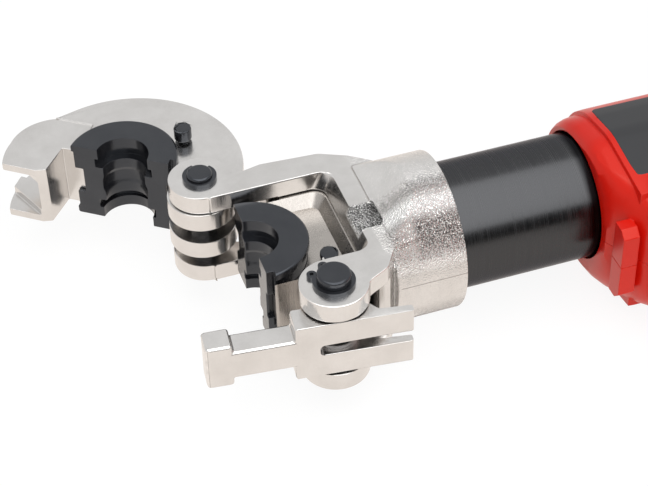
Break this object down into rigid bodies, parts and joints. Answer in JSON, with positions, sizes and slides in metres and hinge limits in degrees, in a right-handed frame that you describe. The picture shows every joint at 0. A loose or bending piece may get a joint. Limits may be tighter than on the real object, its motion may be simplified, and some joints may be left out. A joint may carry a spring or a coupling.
{
  "type": "cordless pipe press tool",
  "caption": "Pistol-shaped battery press tool with a swivelling hinged-hook head, two half dies, a locking latch and a slide-on battery.",
  "frame": {"origin": "centre of the collar's rear rim, on the axis of the press cylinder", "axes": "+X forward along the cylinder towards the jaws, +Y towards the latch and the handle, +Z along the hinge pins, up as the tool lies on its side"},
  "size_m": [0.4284, 0.3003, 0.072],
  "materials": {
    "nickel": "satin nickel plate",
    "dark_steel": "matte burnished",
    "spring_steel": "bright",
    "black_cylinder": "black anodised with fine turning lines",
    "ram_steel": "ground",
    "red_plastic": "fine grain",
    "panel_plastic": "fine grain",
    "black_plastic": "fine grain",
    "soft_black": "soft grip",
    "pump_steel": "machined",
    "gear_case": "cast",
    "motor_paint": "satin",
    "board_green": "board",
    "cell_wrap": "shrink wrap",
    "contact_brass": "bright",
    "clear_lens": "clear"
  },
  "bodies": {
    "body": {"housing_upper": "red_plastic", "housing_lower": "red_plastic", "side_panel_upper": "panel_plastic", "side_panel_lower": "panel_plastic", "dust_ring": "soft_black", "pump_block": "pump_steel", "pump_plunger": "spring_steel", "oil_bladder": "soft_black", "gearbox_case": "gear_case", "motor_can": "motor_paint", "motor_stator": "pump_steel", "trigger_switch": "black_plastic", "control_board": "board_green", "release_seat": "black_plastic", "light_lens": "clear_lens", "grip_pad": "soft_black", "terminal_blades": "contact_brass", "housing_screw_1": "dark_steel", "housing_screw_2": "dark_steel", "housing_screw_3": "dark_steel", "housing_screw_4": "dark_steel", "housing_screw_5": "dark_steel", "housing_screw_6": "dark_steel"},
    "head": {"yoke": "nickel", "cylinder_tube": "black_cylinder", "gland": "spring_steel", "hook_pin": "dark_steel", "hook_pin_clip_upper": "dark_steel", "hook_pin_clip_lower": "dark_steel", "latch_pin": "dark_steel", "latch_pin_clip_upper": "dark_steel", "latch_pin_clip_lower": "dark_steel", "latch_spring": "spring_steel", "return_spring": "spring_steel"},
    "hook": {"hook_jaw": "nickel"},
    "upper_die": {"upper_die": "dark_steel"},
    "upper_die_button": {"upper_die_button": "dark_steel"},
    "latch": {"latch_lever": "nickel"},
    "ram": {"die_holder": "nickel", "piston_rod": "ram_steel", "piston_seal": "soft_black"},
    "lower_die": {"lower_die": "dark_steel"},
    "lower_die_button": {"lower_die_button": "dark_steel"},
    "trigger": {"trigger": "black_plastic"},
    "release_button": {"release_button": "black_plastic"},
    "motor_rotor": {"motor_rotor": "pump_steel", "motor_fan": "black_plastic"},
    "drive_output": {"carrier_shaft": "spring_steel", "planet_gears": "spring_steel"},
    "battery": {"battery_case_inner": "black_plastic", "battery_case_outer": "black_plastic", "battery_cells": "cell_wrap", "battery_cell_frame": "black_plastic"},
    "battery_key_upper": {"battery_key_upper": "red_plastic"},
    "battery_key_lower": {"battery_key_lower": "red_plastic"}
  },
  "joints": [
    {"name": "head_swivel", "type": "hinge", "parent": "body", "child": "head", "pos_m": [0, 0, 0], "axis": [1, 0, 0], "continuous": true},
    {"name": "hook_swing", "type": "hinge", "parent": "head", "child": "hook", "pos_m": [0.084, -0.036, 0], "axis": [0, 0, 1], "range_deg": [0, 126.5]},
    {"name": "upper_die_slide", "type": "slide", "parent": "hook", "child": "upper_die", "axis": [-0.5948, -0.8039, 0], "range_m": [-0.014, 0]},
    {"name": "upper_button_press", "type": "slide", "parent": "hook", "child": "upper_die_button", "axis": [0, 0, -1], "range_m": [0, 0.0008], "stiffness_N_per_m": 600, "springref_m": -0.002},
    {"name": "latch_swing", "type": "hinge", "parent": "head", "child": "latch", "pos_m": [0.0548, 0.0364, 0], "axis": [0, 0, 1], "range_deg": [0, 25], "stiffness_Nm_per_rad": 0.4, "springref_deg": -20.05},
    {"name": "ram_travel", "type": "slide", "parent": "head", "child": "ram", "axis": [1, 0, 0], "range_m": [0, 0.0173], "stiffness_N_per_m": 2500, "springref_m": -0.012, "deforming": ["return_spring"]},
    {"name": "lower_die_slide", "type": "slide", "parent": "ram", "child": "lower_die", "axis": [-1, 0, 0], "range_m": [-0.014, 0]},
    {"name": "lower_button_press", "type": "slide", "parent": "ram", "child": "lower_die_button", "axis": [0, 0, -1], "range_m": [0, 0.0008], "stiffness_N_per_m": 600, "springref_m": -0.002},
    {"name": "trigger_pull", "type": "slide", "parent": "body", "child": "trigger", "axis": [-1, 0, 0], "range_m": [0, 0.006], "stiffness_N_per_m": 800, "springref_m": -0.006},
    {"name": "release_press", "type": "slide", "parent": "body", "child": "release_button", "axis": [0, 0, -1], "range_m": [0, 0.002], "stiffness_N_per_m": 800, "springref_m": -0.003},
    {"name": "motor_spin", "type": "hinge", "parent": "body", "child": "motor_rotor", "pos_m": [0, 0, 0], "axis": [1, 0, 0], "continuous": true},
    {"name": "output_spin", "type": "hinge", "parent": "body", "child": "drive_output", "pos_m": [0, 0, 0], "axis": [1, 0, 0], "continuous": true},
    {"name": "battery_slide", "type": "slide", "parent": "body", "child": "battery", "axis": [1, 0, 0], "range_m": [0, 0.104]},
    {"name": "battery_key_upper_press", "type": "slide", "parent": "battery", "child": "battery_key_upper", "axis": [0, 0, -1], "range_m": [0, 0.0012], "stiffness_N_per_m": 1500, "springref_m": -0.002},
    {"name": "battery_key_lower_press", "type": "slide", "parent": "battery", "child": "battery_key_lower", "axis": [0, 0, 1], "range_m": [0, 0.0012], "stiffness_N_per_m": 1500, "springref_m": -0.002}
  ],
  "couplings": [
    {"joint": "output_spin", "follows": "motor_spin", "ratio": 0.20554}
  ]
}
